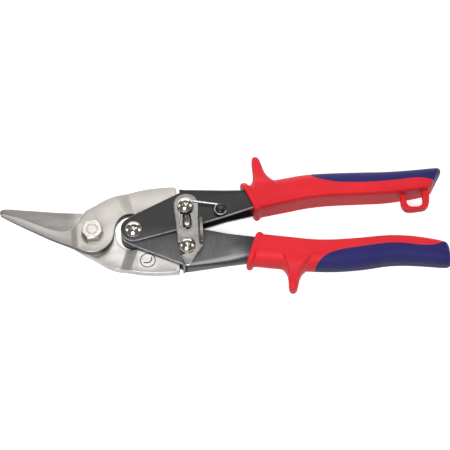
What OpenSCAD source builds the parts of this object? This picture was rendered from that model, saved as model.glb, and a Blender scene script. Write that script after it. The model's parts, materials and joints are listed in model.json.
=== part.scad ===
// Compound-action aviation snips, closed and latched, lying flat.
// Shapes are laid out around the main pivot: the jaws point to -X, the handles to +X,
// the two blades meet in the plane z = 0, and place() then moves the whole tool so that
// its origin is the bottom centre of its bounding box.

/* [Linkage] */
// Distance from the main pivot back to the handle pivot
handle_pivot_x = 23; // [22.5:0.25:24]
// Distance from the main pivot back to the two link pivots
link_x = 52.4; // [52:0.2:53]
// Distance of each link pivot from the centre line
link_y = 12; // [11.5:0.25:12.5]

/* [Blades] */
// Thickness of a blade at its boss
boss_t = 5; // [4.5:0.25:5]
// Thickness of a jaw where it leaves the boss
jaw_root_t = 4.3; // [3.5:0.1:4.5]
// Thickness of a jaw at its tip
jaw_tip_t = 2.4; // [1.8:0.1:3]
// How far each tang is cranked towards the middle of the tool
tang_drop = 1.75; // [1.5:0.05:1.8]
// Radius of the eye at the end of each tang
eye_r = 6.8; // [6:0.1:7]
// Gap between the two blades
blade_gap = 0.05; // [0.02:0.01:0.1]

/* [Handles] */
// Thickness of the pressed steel sheet
sheet_t = 1.9; // [1.5:0.1:1.9]
// Height of a handle's far flange above the blade plane, at the pivots
flange_z = 6; // [5.9:0.05:6.1]
// Height of a handle's near flange below the blade plane, at the pivots
flange_low_z = 3.95; // [3.85:0.05:3.95]
// Radius of the rounded front end of a handle
front_r = 7.2; // [6.5:0.1:7.5]

/* [Grips] */
// Half of the thickness of a grip
grip_h = 9; // [9:0.25:10]
// Rounding radius of a grip's edges on the side that faces the other grip
inner_round = 2.2; // [1.5:0.1:3]
// Rounding radius of a grip's edges on its outer side
outer_round = 8; // [6:0.25:8]
// Half of the thickness of the finger stops
horn_h = 5; // [4:0.5:6]
// Half of the thickness of the hanging loop
loop_h = 2.5; // [2:0.25:3.5]

/* [Fasteners] */
// Radius of the main bolt's shoulder
bolt_r = 3.5; // [3:0.25:4]
// Width across the flats of the main bolt's head
bolt_af = 10.5; // [10:0.25:11.5]
// Radius of the handle pivot screw's shank
pivot_r = 2.5; // [2:0.25:2.5]
// Radius of the shank of the two link screws
link_r = 2; // [1.75:0.25:2]
// Radius of the domed head of the handle pivot screw
pivot_head_r = 4.9; // [4.5:0.1:5.2]
// Radius of the domed heads of the two link screws
link_head_r = 4.6; // [4.2:0.1:4.8]
// Height of a domed screw head
head_h = 3; // [2.5:0.1:3.2]
// Running clearance of a pin in its bore, on the radius
run = 0.05; // [0.02:0.01:0.08]

/* [Latch] */
// Thickness of the latch plate
latch_t = 1.5; // [1.2:0.1:1.5]
// Height of the thumb tab above the handle
tab_rise = 4.4; // [3.5:0.1:5]

/* [Springs] */
// Radius of the return spring's wire
return_wire_r = 0.5; // [0.4:0.05:0.5]
// Radius of the latch spring's wire
latch_wire_r = 0.45; // [0.4:0.05:0.45]

/* [Hidden] */
$fn = 48;

// Ends of the tool, which fix its bounding box
tip_x = -51.5;
end_x = 197.9;
upper_horn_y = 43.1;
lower_horn_y = -40.3;

// Pivots
p_handle = [handle_pivot_x, 0];
p_upper = [link_x, link_y];
p_lower = [link_x, -link_y];

// Clearance between flat faces of different moving bodies
face_gap = 0.1;
// Radial clearance of the upper tang's bore, which lets the closed linkage move
open_pivot_gap = 0.3;
bush_r = 3.5;
sleeve_r = 3.5;
shoulder_r = 3;
neck_r = 2.3;
thread_r = 3;
far = 20;

// Heights inside the handles: the far flange is the top one of the upper handle
far_in = flange_z - sheet_t;
near_in = flange_low_z - sheet_t;
latch_z = flange_z + face_gap;
latch_top = latch_z + latch_t;
upper_head_z = latch_top + 2 * latch_wire_r + 0.25;
lower_head_z = latch_top + 0.15;

// Back of the tool: the nuts stay level with the underside of the grips
washer_t = 0.8;
pivot_nut_t = grip_h - boss_t - washer_t;
small_nut_t = 2.8;

// The spring post, fixed in the upper handle's top flange
post = [71.9, 9];
post_r = 2.2;
post_loop_r = 3.2;

// ---------- outlines ----------

function cubic(a, b, c, d, t) =
    0.5 * (2 * b + (c - a) * t + (2 * a - 5 * b + 4 * c - d) * t * t
    + (3 * b - a - 3 * c + d) * t * t * t);

// Smooth curve through points, with n steps for each stretch
function curve(p, n = 4) = [
    for (i = [0 : len(p) - 2])
        for (k = [0 : n - 1])
            cubic(p[max(i - 1, 0)], p[i], p[i + 1], p[min(i + 2, len(p) - 1)], k / n),
    p[len(p) - 1]
];

// Arc about c from angle a to angle b, both in degrees
function arc(c, r, a, b, n = 12) = [
    for (k = [0 : n]) let (t = a + (b - a) * k / n) c + r * [cos(t), sin(t)]
];

// A list without its first item, to join two stretches at a shared point
function rest(p) = [for (i = [1 : len(p) - 1]) p[i]];

function flip(p) = [for (q = p) [q[0], -q[1]]];

// Narrow jaw's cutting edge, from the tip through the throat to the boss
narrow_edge = curve([[-50.6, 15.4], [-45, 13.7], [-38, 11], [-30, 7], [-23.5, 4], [-18, 2.1],
    [-13, 2.2], [-9.5, 4], [-6.5, 8.5], [-3.3, 13.6]]);
narrow_back = curve([[-3.3, 13.6], [2, 16.4], [9, 20.2], [18, 23], [28, 25.3], [38, 26.3],
    [45.8, 26.4], [47.4, 25.9], [47.8, 24.6]]);
narrow_boss = curve([[13.3, 4.3], [12.6, 2], [12, -1.5], [10.8, -5.2], [8, -8.8], [4, -11.2],
    [0, -11.9], [-4, -11.2], [-9, -8.8], [-14, -6.2], [-22, -2.4], [-30, 2], [-38, 6.6],
    [-46, 11.3], [-50.8, 14.4]]);
narrow_outline = concat(narrow_edge, rest(narrow_back), arc(p_upper, eye_r, 130, -102, 20),
    [[40, 7.2], [30, 9.8]], arc(p_handle, 10.6, 90, 148), narrow_boss);

// Wide jaw's spine, from the tip over the boss to the notch
wide_spine = curve([[-50.9, 15.9], [tip_x, 17.2], [-50.8, 18.6], [-49, 19.4], [-45, 19.1],
    [-38, 18.1], [-28, 16.8], [-18, 15.5], [-8, 14.6], [-3, 14.2], [4, 13], [9.5, 9],
    [12.2, 4.6], [12.9, 0.9]]);
wide_back = curve([[47.6, -23.6], [47.2, -24.7], [46, -25.1], [36, -25.1], [26, -24.2],
    [18, -22.2], [10, -19.7], [4, -16], [-0.5, -12.8], [-5, -10], [-9, -7], [-13, -4.2]]);
wide_outline = concat(wide_spine, arc(p_handle, 10.1, 180, 270), [[30, -9.8], [40, -7.2]],
    arc(p_lower, eye_r, 102, -130, 20), [[47.6, -18.2]], wide_back);

// Side view of the narrow blade: jaw taper, boss and crank
blade_side = [[-60, blade_gap], [17.5, blade_gap], [22.5, -tang_drop], [70, -tang_drop],
    [70, boss_t - tang_drop], [22, boss_t - tang_drop], [17, boss_t], [-8, boss_t],
    [-11, jaw_root_t], [tip_x, jaw_tip_t], [-60, jaw_tip_t]];

// Plan view of a handle's flanges: the web side, and each handle's open side
flange_back = [[24.9, -6.5], [19.9, 7], [24.6, 9.7], [49.4, 21.3], [49.4, 23.2], [84, 20.8],
    [120, 23.8], [172, 24.2], [176, 22], [174, 18], [120, 15.2]];
upper_open_side = [[90, 9.8], [62, 2.2]];
lower_open_side = [[90, 8.4], [73.3, 3.8], [62, 0.9]];
// Everything on the open side of the handle's web
web_inner = [[0, 24], [49.8, 24], [49.8, 21.3], [84, 18.9], [120, 21.9], [190, 22.3], [190, -30],
    [0, -30]];
// Side view of a handle: it deepens towards the grip
flare_start = 75;
flare_end = 90;
grip_core_h = 6.9;

function handle_side(inset) = [[0, flange_z - inset], [flare_start, flange_z - inset],
    [flare_end, grip_core_h - inset], [200, grip_core_h - inset],
    [200, inset - grip_core_h], [flare_end, inset - grip_core_h],
    [flare_start, inset - flange_low_z], [0, inset - flange_low_z]];

// Stations along a grip: inner edge point, outer edge point, half thickness as a share
upper_stations = [
    [[91.2, 8.2], [84.2, 25.9], 0.95], [[92.2, 7.5], [85.8, 26.4], 1],
    [[94.4, 8.6], [88, 25.4], 0.95], [[98.7, 9.6], [94.7, 26.6], 0.96],
    [[110.3, 11.6], [107.8, 28.3], 1], [[121.9, 13.4], [119.9, 29.9], 1],
    [[133.9, 14.1], [132.9, 30.2], 1], [[150, 14], [150, 29.8], 1],
    [[165.1, 14], [166.1, 29.2], 1], [[178.2, 15.2], [180.2, 29.5], 0.96],
    [[187.3, 16.6], [191.3, 30.1], 0.9], [[190.6, 18.2], [195.2, 29.3], 0.78],
    [[192.1, 20.4], [196.1, 27.4], 0.5]
];
lower_stations = [
    [[91.2, -6.6], [84.8, -23.4], 0.95], [[92.7, -6.1], [86.2, -24.2], 1],
    [[94.7, -6.9], [88.2, -23.1], 0.95], [[100.7, -7.9], [96.7, -24.1], 0.96],
    [[110.9, -9.8], [108.9, -25.9], 1], [[121.9, -11.6], [120.9, -27.5], 1],
    [[134, -12.4], [134, -28.4], 1], [[149, -12.1], [149, -28], 1],
    [[163, -11.5], [163, -26.4], 1], [[174.9, -12.3], [173.9, -26.6], 0.98],
    [[186.8, -14.4], [184.8, -27.9], 0.92], [[194.6, -16.8], [193.4, -29.2], 0.8],
    [[197, -19.4], [197, -28], 0.56], [[end_x, -21.8], [end_x, -26.1], 0.3]
];
// Where the inlay meets the base, on the top and bottom faces
upper_split = curve([[123.5, 32], [123.8, 27.4], [127.9, 24.7], [134.5, 22.6], [142, 21.4],
    [156, 20.8], [170, 21.2], [182, 22.2], [190, 21.2], [200, 18]]);
lower_split = curve([[118.6, -36], [120, -31], [124.2, -25.7], [129.6, -21.9], [137, -19.7],
    [148, -18.4], [162, -17.2], [172, -17.6], [183.5, -19.4], [191.5, -18.5], [202, -13.5]]);

upper_horn = curve([[88.5, 23], [91.2, 27.5], [91.3, 33], [90.9, 40], [91.7, 42.5],
    [93.3, upper_horn_y], [95, 41.8], [96.3, 37.8], [98, 32.5], [100.8, 28.5], [106, 26.4],
    [104, 22]]);
lower_horn = curve([[102.5, -22], [106.4, -26.6], [107.4, -30], [107.2, -36], [107, -38.6],
    [108.1, -39.9], [109.8, lower_horn_y], [111.3, -39.4], [112.4, -36], [113.8, -31.4],
    [116.2, -28.2], [121, -26], [119, -22]]);
loop_outline = curve([[173.3, 16.5], [173, 10.6], [173.7, 7.8], [175.4, 5.8], [178, 5.2],
    [181.5, 5.4], [185.9, 5.9], [188.2, 7.9], [189.2, 11], [189.4, 17.8]]);
// Opening of the hanging loop: low corner and high corner
loop_low = [176.4, 7.4];
loop_high = [185.4, 16.8];
loop_corner_r = 2.4;

// ---------- shared pieces ----------

module place() {
    translate([-(tip_x + end_x) / 2, -(upper_horn_y + lower_horn_y) / 2, grip_h]) children();
}

module at(p, z = 0) {
    translate([p[0], p[1], z]) children();
}

module bore(p, r) {
    at(p, -far) cylinder(r = r, h = 2 * far);
}

// Plan outline cut to a side view
module pressed(outline, side) {
    intersection() {
        translate([0, 0, -far]) linear_extrude(2 * far) polygon(outline);
        rotate([90, 0, 0]) translate([0, 0, -2 * far]) linear_extrude(4 * far) polygon(side);
    }
}

// Round wire of radius r swept along a list of points, level except for gentle slopes
module wire(p, r, sides = 8) {
    last = len(p) - 1;
    pts = [for (i = [0 : last])
        let (
            t = p[min(i + 1, last)] - p[max(i - 1, 0)],
            n = cross([0, 0, 1], t) / norm(cross([0, 0, 1], t)),
            b = cross(t, n) / norm(t)
        )
        for (k = [0 : sides - 1])
            p[i] + r * (cos(360 * k / sides) * n + sin(360 * k / sides) * b)];
    skin = [for (i = [0 : last - 1]) for (k = [0 : sides - 1])
        [i * sides + k, (i + 1) * sides + k, (i + 1) * sides + (k + 1) % sides,
            i * sides + (k + 1) % sides]];
    ends = [[for (k = [0 : sides - 1]) k], [for (k = [sides - 1 : -1 : 0]) last * sides + k]];
    polyhedron(pts, concat(skin, ends));
}

// Points of a coil about c from angle a to b, rising from z_a to z_b
function helix(c, r, a, b, z_a, z_b, n) = [
    for (k = [0 : n]) let (t = a + (b - a) * k / n)
        [c[0] + r * cos(t), c[1] + r * sin(t), z_a + (z_b - z_a) * k / n]
];

module tube(c, r_out, r_in, z_low, z_high) {
    at(c, z_low) difference() {
        cylinder(r = r_out, h = z_high - z_low);
        translate([0, 0, -1]) cylinder(r = r_in, h = z_high - z_low + 2);
    }
}

// Domed head with a cross recess, its flat underside at z = 0
module dome_head(r, h) {
    edge_h = 0.7;
    dome_r = (r * r + pow(h - edge_h, 2)) / (2 * (h - edge_h));
    difference() {
        intersection() {
            cylinder(r = r, h = h);
            translate([0, 0, h - dome_r]) sphere(r = dome_r, $fn = 64);
        }
        for (turn = [20, 110])
            rotate([0, 0, turn]) translate([-0.5 * r, -0.55, h - 1.5]) cube([r, 1.1, 2]);
    }
}

// Hexagon prism with its corners chamfered at the top
module hex_prism(af, h, chamfer) {
    corner_r = af / sqrt(3);
    intersection() {
        cylinder(r = corner_r, h = h, $fn = 6);
        rotate_extrude()
            polygon([[0, 0], [corner_r + 1, 0], [corner_r + 1, h - chamfer - 1],
                [af / 2 - 0.1, h], [0, h]]);
    }
}

module hex_nut(c, af, bore_r, z_low, h) {
    difference() {
        at(c, z_low + h) mirror([0, 0, 1]) hex_prism(af, h, 0.4);
        bore(c, bore_r);
    }
}

// Points of one rounded-rectangle station of a grip
function station_ring(s, steps = 4) =
    let (
        mid = (s[0] + s[1]) / 2,
        half = norm(s[1] - s[0]) / 2,
        u = (s[1] - s[0]) / (2 * half),
        h = s[2] * grip_h
    )
    [for (q = [0 : 3]) for (k = [0 : steps])
        let (
            t = 90 * q + 90 * k / steps,
            outer = q == 0 || q == 3,
            r = outer ? min(outer_round, half, 0.95 * h) : min(inner_round, 0.5 * half, 0.5 * h),
            sx = outer ? 1 : -1,
            sz = q < 2 ? 1 : -1,
            w = sx * (half - r) + r * cos(t),
            z = sz * (h - r) + r * sin(t)
        )
        [mid[0] + u[0] * w, mid[1] + u[1] * w, z]];

// Closed solid through a list of stations, each a ring of m points
module loft(stations, flipped) {
    m = len(station_ring(stations[0]));
    n = len(stations);
    pts = [for (s = stations) for (q = station_ring(s)) q];
    sides = [for (i = [0 : n - 2]) for (k = [0 : m - 1])
        let (a = i * m + k, b = i * m + (k + 1) % m) [[a, b, b + m], [a, b + m, a + m]]];
    tris = [for (pair = sides) for (f = pair) f];
    caps = [[for (k = [m - 1 : -1 : 0]) k], [for (k = [0 : m - 1]) (n - 1) * m + k]];
    faces = concat(tris, caps);
    polyhedron(pts, flipped ? [for (f = faces) [for (k = [len(f) - 1 : -1 : 0]) f[k]]] : faces);
}

// ---------- blades ----------

module narrow_blade() {
    color("gainsboro") difference() {
        pressed(narrow_outline, blade_side);
        bore([0, 0], bolt_r + run);
        bore(p_upper, bush_r + open_pivot_gap);
    }
}

module wide_blade() {
    symbol = [30.1, -17.2];
    symbol_r = 4.4;
    color("silver") difference() {
        pressed(wide_outline, flip(blade_side));
        bore([0, 0], bolt_r);
        bore(p_lower, bush_r + run);
        tube(symbol, symbol_r, symbol_r - 0.6, tang_drop - 0.25, tang_drop + 1);
    }
}

module pivot_bolt() {
    color("whitesmoke") {
        at([0, 0], boss_t + face_gap) hex_prism(bolt_af, 4.4, 0.5);
        at([0, 0], -boss_t) cylinder(r = bolt_r, h = 2 * boss_t + face_gap);
        at([0, 0], -grip_h + 0.1) cylinder(r = thread_r, h = grip_h - boss_t);
    }
}

module pivot_washer() {
    color("silver") tube([0, 0], 6.2, thread_r, -boss_t - washer_t, -boss_t);
}

module pivot_nut() {
    color("silver") hex_nut([0, 0], 10, thread_r, -grip_h, pivot_nut_t);
}

// ---------- handles ----------

// Handle without its bores, its web towards +Y
module channel(open_side) {
    difference() {
        union() {
            pressed(concat(flange_back, open_side), handle_side(0));
            intersection() {
                at([p_handle[0], 0.5], -far) cylinder(r = front_r, h = 2 * far);
                rotate([90, 0, 0]) translate([0, 0, -far])
                    linear_extrude(2 * far) polygon(handle_side(0));
            }
        }
        pressed(web_inner, handle_side(sheet_t));
    }
}

module upper_handle() {
    color("dimgray") difference() {
        channel(upper_open_side);
        at(p_handle, far_in - 1) cylinder(r = shoulder_r + run, h = far);
        at(p_handle, -far) cylinder(r = sleeve_r + run, h = far);
        bore(p_upper, link_r);
        bore(post, 1.5);
    }
}

module lower_handle() {
    color("dimgray") difference() {
        rotate([180, 0, 0]) channel(lower_open_side);
        bore(p_handle, pivot_r);
        bore(p_lower, link_r);
    }
}

// ---------- grips ----------

module upper_grip_form() {
    loft(upper_stations, true);
    at([0, 0], -horn_h) linear_extrude(2 * horn_h) polygon(upper_horn);
}

module lower_grip_form() {
    loft(lower_stations, false);
    at([0, 0], -horn_h) linear_extrude(2 * horn_h) polygon(lower_horn);
}

module half_space(split, side_y) {
    at([0, 0], -far)
        linear_extrude(2 * far)
            polygon(concat(split, [[210, side_y], [split[0][0], side_y]]));
}

module hang_loop() {
    low_left = loop_low + [1, 1] * loop_corner_r;
    low_right = [loop_high[0], loop_low[1]] + [-1, 1] * loop_corner_r;
    at([0, 0], -loop_h) linear_extrude(2 * loop_h) difference() {
        polygon(loop_outline);
        polygon(concat([[loop_low[0], loop_high[1]]], arc(low_left, loop_corner_r, 180, 270, 6),
            arc(low_right, loop_corner_r, 270, 360, 6), [loop_high]));
    }
}

module upper_grip() {
    color("crimson") difference() {
        union() {
            difference() {
                upper_grip_form();
                half_space(upper_split, 60);
            }
            hang_loop();
        }
        channel(upper_open_side);
    }
}

module upper_grip_inlay() {
    color("midnightblue") difference() {
        intersection() {
            loft(upper_stations, true);
            half_space(upper_split, 60);
        }
        channel(upper_open_side);
    }
}

module lower_grip() {
    color("crimson") difference() {
        lower_grip_form();
        half_space(lower_split, -60);
        rotate([180, 0, 0]) channel(lower_open_side);
    }
}

module lower_grip_inlay() {
    color("midnightblue") difference() {
        intersection() {
            loft(lower_stations, false);
            half_space(lower_split, -60);
        }
        rotate([180, 0, 0]) channel(lower_open_side);
    }
}

// ---------- handle pivot ----------

module handle_pivot_screw() {
    color("gainsboro") {
        at(p_handle, flange_z + 0.15) dome_head(pivot_head_r, head_h);
        at(p_handle, flange_low_z) cylinder(r = shoulder_r, h = flange_z + 0.2 - flange_low_z);
        at(p_handle, -grip_h + 0.1) cylinder(r = pivot_r, h = grip_h + flange_low_z);
    }
}

module handle_pivot_sleeve() {
    color("silver") tube(p_handle, sleeve_r, pivot_r, -far_in, near_in);
}

module handle_pivot_nut() {
    color("silver") hex_nut(p_handle, 8, pivot_r, -flange_z - small_nut_t, small_nut_t);
}

module return_spring() {
    coil_r = 4.5;
    turns = 2;
    leg_bend = [56, 4.1];
    leg_end = [69.5, 18.3];
    z = 2.65 * return_wire_r;
    color("slategray")
        wire(concat(
            [[leg_end[0], -leg_end[1], -z], [leg_bend[0] + 2, -leg_bend[1] - 1.5, -z],
                [leg_bend[0] - 2, -leg_bend[1], -z]],
            helix(p_handle, coil_r, -90, -90 - 360 * turns - 180, -z, z, 20 * turns + 10),
            [[leg_bend[0] - 2, leg_bend[1], z], [leg_bend[0] + 2, leg_bend[1] + 1.5, z],
                [leg_end[0], leg_end[1], z]]), return_wire_r);
}

// ---------- link pivots ----------

module upper_link_screw() {
    color("gainsboro") {
        at(p_upper, upper_head_z) dome_head(link_head_r, head_h);
        at(p_upper, -flange_low_z - small_nut_t - 0.3)
            cylinder(r = link_r, h = upper_head_z + flange_low_z + small_nut_t + 0.4);
    }
}

module upper_link_bush() {
    color("silver") tube(p_upper, bush_r, link_r, -near_in, far_in);
}

module upper_link_nut() {
    color("silver") hex_nut(p_upper, 7, link_r, -flange_low_z - small_nut_t, small_nut_t);
}

module lower_link_screw() {
    color("gainsboro") {
        at(p_lower, lower_head_z) dome_head(link_head_r, head_h);
        at(p_lower, flange_low_z) cylinder(r = neck_r, h = lower_head_z - flange_low_z + 0.1);
        at(p_lower, -grip_h + 0.1) cylinder(r = link_r, h = grip_h + flange_low_z);
    }
}

module lower_link_bush() {
    color("silver") tube(p_lower, bush_r, link_r, -far_in, near_in);
}

module lower_link_nut() {
    color("silver") hex_nut(p_lower, 7, link_r, -flange_z - small_nut_t, small_nut_t);
}

// ---------- latch ----------

// Direction in which the latch leaves the lower screw's neck
latch_exit = 37;
latch_notch_r = neck_r + 0.3;

module latch_outline() {
    polygon(concat(
        arc(p_upper + [0.4, 0.8], 6.8, 185, -5, 20),
        [[59, 3.4], [61.4, 3.4], [61.4, -11], [60.4, -13], [53, -23.4]],
        arc([52, -22.7], 1, -40, -140, 4),
        [[47.3, -15.2], [47.3, -8], [46.9, 0]]));
}

// Notch that drops over the lower screw's neck, open towards the exit direction
module latch_notch() {
    mouth = 12;
    exit_dir = -mouth * [cos(latch_exit), sin(latch_exit)];
    low_lip = arc(p_lower, latch_notch_r, latch_exit - 90, 90, 16);
    polygon(concat(low_lip, [p_lower + [-mouth, latch_notch_r], low_lip[0] + exit_dir]));
}

module latch_plate() {
    slot_mid = [52.9, 1.8];
    slot_r = 2.4;
    slot_half = [0, 1.5];
    tongue_w = 2.4;
    embed = 0.6;
    color("lightgray") {
        difference() {
            at([0, 0], latch_z) linear_extrude(latch_t) difference() {
                latch_outline();
                latch_notch();
                polygon(concat(arc(slot_mid + slot_half, slot_r, 0, 180),
                    arc(slot_mid - slot_half, slot_r, 180, 360)));
            }
            bore(p_upper, shoulder_r + run);
        }
        // Tongue left standing in the slot
        translate([slot_mid[0] - tongue_w / 2, slot_mid[1] - 1, latch_z + embed])
            cube([tongue_w, 6, latch_t]);
        // Thumb tab
        translate([59.8, -11, latch_z + embed])
            cube([1.5, 14.4, tab_rise - embed]);
    }
}

module latch_bush() {
    color("silver") tube(p_upper, shoulder_r, link_r, flange_z, upper_head_z);
}

module latch_spring() {
    z = latch_top + latch_wire_r + 0.05;
    wrap_r = shoulder_r + latch_wire_r + 0.1;
    color("lightgray")
        wire(concat(
            [[52.3, -0.7, z - 1.1], [51.7, -0.8, z - 0.4], [51, -0.85, z], [50.1, -0.7, z],
                [49.4, 0.2, z]],
            helix(p_upper, wrap_r, 180, 78, z, z, 8),
            helix(post, post_loop_r, 125, 330, z, z, 16)), latch_wire_r);
}

module spring_post() {
    color("black") {
        at(post, far_in) cylinder(r = 1.5, h = flange_z - far_in + 0.1);
        at(post, flange_z) cylinder(r = post_r, h = 3);
        at(post, flange_z + 2.9) dome_head(2.9, 1.4);
    }
}

place() narrow_blade();
place() wide_blade();
place() pivot_bolt();
place() pivot_washer();
place() pivot_nut();
place() upper_handle();
place() lower_handle();
place() upper_grip();
place() upper_grip_inlay();
place() lower_grip();
place() lower_grip_inlay();
place() handle_pivot_screw();
place() handle_pivot_sleeve();
place() handle_pivot_nut();
place() return_spring();
place() upper_link_screw();
place() upper_link_bush();
place() upper_link_nut();
place() lower_link_screw();
place() lower_link_bush();
place() lower_link_nut();
place() latch_plate();
place() latch_bush();
place() latch_spring();
place() spring_post();
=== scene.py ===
import json
import math

import bmesh
import bpy
import numpy as np
from mathutils import Matrix, Vector


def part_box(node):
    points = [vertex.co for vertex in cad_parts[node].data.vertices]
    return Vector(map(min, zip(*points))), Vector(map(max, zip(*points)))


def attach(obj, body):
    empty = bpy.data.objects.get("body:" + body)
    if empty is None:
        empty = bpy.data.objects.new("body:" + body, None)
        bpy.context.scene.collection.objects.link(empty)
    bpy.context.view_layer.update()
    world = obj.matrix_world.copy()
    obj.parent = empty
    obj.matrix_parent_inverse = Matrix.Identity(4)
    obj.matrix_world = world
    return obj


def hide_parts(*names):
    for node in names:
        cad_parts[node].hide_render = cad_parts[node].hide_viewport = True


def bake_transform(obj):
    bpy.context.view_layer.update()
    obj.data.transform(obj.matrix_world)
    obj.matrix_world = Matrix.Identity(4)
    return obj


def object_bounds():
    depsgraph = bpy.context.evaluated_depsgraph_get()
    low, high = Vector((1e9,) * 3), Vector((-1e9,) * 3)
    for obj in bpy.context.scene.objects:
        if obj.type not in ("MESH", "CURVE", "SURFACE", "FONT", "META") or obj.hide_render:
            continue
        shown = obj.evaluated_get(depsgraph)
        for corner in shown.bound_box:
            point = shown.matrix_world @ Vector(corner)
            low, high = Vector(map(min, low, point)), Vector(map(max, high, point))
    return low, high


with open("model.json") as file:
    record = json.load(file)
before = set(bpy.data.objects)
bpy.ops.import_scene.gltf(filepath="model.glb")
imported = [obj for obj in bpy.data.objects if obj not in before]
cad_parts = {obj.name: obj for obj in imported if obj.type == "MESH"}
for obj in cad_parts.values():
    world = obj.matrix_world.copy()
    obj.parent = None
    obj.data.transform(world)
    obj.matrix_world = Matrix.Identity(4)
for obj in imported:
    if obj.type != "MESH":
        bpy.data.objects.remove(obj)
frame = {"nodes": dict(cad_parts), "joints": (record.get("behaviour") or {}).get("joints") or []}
cad_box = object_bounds()

# Aviation snips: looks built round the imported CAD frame. Shapes are worked out in
# millimetres round the main pivot, with z = 0 where the blades meet, and put into the
# row frame by make(). Plan outlines are read from the CAD nodes.

# ---- frame ----

MM = 0.001
JOINTS = {j["name"]: j for j in frame["joints"]}
ORIGIN = Vector(JOINTS["jaw_open"]["pos_m"])
TO_ROW = Matrix.Translation(ORIGIN) @ Matrix.Scale(MM, 4)
TO_MM = TO_ROW.inverted()


def local(place):
    """A row-frame place in millimetres from the main pivot."""
    return TO_MM @ Vector(place)


def node_mm(node):
    """Lowest corner, highest corner and middle of a CAD node's box, as local() places."""
    low, high = (local(corner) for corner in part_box(node))
    return low, high, (low + high) / 2


P_HANDLE = local(JOINTS["handle_open"]["pos_m"])
P_UPPER = local(JOINTS["latch_swing"]["pos_m"])
P_LOWER = local(JOINTS["wide_blade_link"]["pos_m"])

# ---- mesh helpers ----


def smooth_step(t):
    """0 up to t = 0 and 1 from t = 1, smooth between."""
    t = min(1.0, max(0.0, t))
    return t * t * (3 - 2 * t)


def ramp(points, x):
    """Straight-line interpolation through (x, value) pairs."""
    return float(np.interp(x, [p[0] for p in points], [p[1] for p in points]))


def shade(obj, smooth_deg=35):
    """Smooth shading, with edges sharper than smooth_deg kept crisp."""
    obj.data.shade_smooth()
    obj.data.set_sharp_from_angle(angle=math.radians(smooth_deg))


def new_object(name, data):
    """An object in the scene that holds the data."""
    obj = bpy.data.objects.new(name, data)
    bpy.context.scene.collection.objects.link(obj)
    return obj


def mesh_object(name, bm):
    """An object with the mesh of a bmesh, which is freed."""
    mesh = bpy.data.meshes.new(name)
    bm.to_mesh(mesh)
    bm.free()
    return new_object(name, mesh)


def make(name, bm, smooth_deg=35):
    """A new object from a bmesh in millimetres round the main pivot."""
    bmesh.ops.recalc_face_normals(bm, faces=bm.faces)
    bm.transform(TO_ROW)
    obj = mesh_object(name, bm)
    shade(obj, smooth_deg)
    return obj


def apply_modifiers(obj):
    """Turns an object's modifiers into its mesh."""
    graph = bpy.context.evaluated_depsgraph_get()
    graph.update()
    mesh = bpy.data.meshes.new_from_object(obj.evaluated_get(graph))
    obj.modifiers.clear()
    obj.data = mesh


def boolean(obj, other, operation, keep=False):
    """obj with other cut away (DIFFERENCE), added (UNION) or shared (INTERSECT)."""
    bpy.context.view_layer.update()
    mod = obj.modifiers.new("boolean", "BOOLEAN")
    mod.solver = "MANIFOLD"
    mod.operation = operation
    mod.object = other
    apply_modifiers(obj)
    if not keep:
        bpy.data.objects.remove(other)


def carve(obj, bm):
    """Cuts a solid, given as a bmesh in millimetres, out of obj."""
    boolean(obj, make("cut", bm), "DIFFERENCE")


def weld(obj, bm):
    """Joins a solid, given as a bmesh in millimetres, to obj."""
    boolean(obj, make("add", bm), "UNION")


def circle(centre, r, n):
    """n points round a circle in plan, counter-clockwise."""
    return [Vector((centre[0] + r * math.cos(t), centre[1] + r * math.sin(t)))
            for t in np.linspace(0, 2 * math.pi, n, endpoint=False)]


def bridge(bm, one, two):
    """Quads between two rings of as many vertices."""
    for k in range(len(one)):
        n = (k + 1) % len(one)
        bm.faces.new((one[k], one[n], two[n], two[k]))


def loft(bm, rings):
    """Closed solid through rings of as many vertices each."""
    for one, two in zip(rings, rings[1:]):
        bridge(bm, one, two)
    bm.faces.new(rings[0])
    bm.faces.new(rings[-1])


def lathe(profile, centre, steps):
    """Closed solid turned about a vertical axis; profile is (radius, z) from axis to axis."""
    bm = bmesh.new()
    rings = []
    for r, z in profile:
        if r < 1e-6:
            rings.append([bm.verts.new((centre[0], centre[1], z))])
        else:
            rings.append([bm.verts.new((p.x, p.y, z)) for p in circle(centre, r, steps)])
    for low, high in zip(rings, rings[1:]):
        if len(low) == len(high):
            bridge(bm, low, high)
            continue
        for k in range(steps):
            n = (k + 1) % steps
            if len(low) == 1:
                bm.faces.new((low[0], high[k], high[n]))
            else:
                bm.faces.new((low[k], low[n], high[0]))
    return bm


def ring_solid(profile, centre):
    """Solid ring: a closed (radius, z) profile turned about a vertical axis."""
    bm = bmesh.new()
    rings = [[bm.verts.new((p.x, p.y, z)) for p in circle(centre, r, 56)] for r, z in profile]
    for one, two in zip(rings, rings[1:] + rings[:1]):
        bridge(bm, one, two)
    return bm


def round_corner(centre_r, centre_z, r, a, b, n=6):
    """Points of a rounded corner in a lathe profile."""
    return [
        (centre_r + r * math.cos(math.radians(t)), centre_z + r * math.sin(math.radians(t)))
        for t in np.linspace(a, b, n)
    ]


def bisect(bm, place, normal, near):
    """Divides a mesh along a plane; returns the vertices and edges that lie on it."""
    geom = [*bm.verts, *bm.edges, *bm.faces]
    cut = bmesh.ops.bisect_plane(bm, geom=geom, dist=near, plane_co=place, plane_no=normal)
    return cut["geom_cut"]


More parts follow.
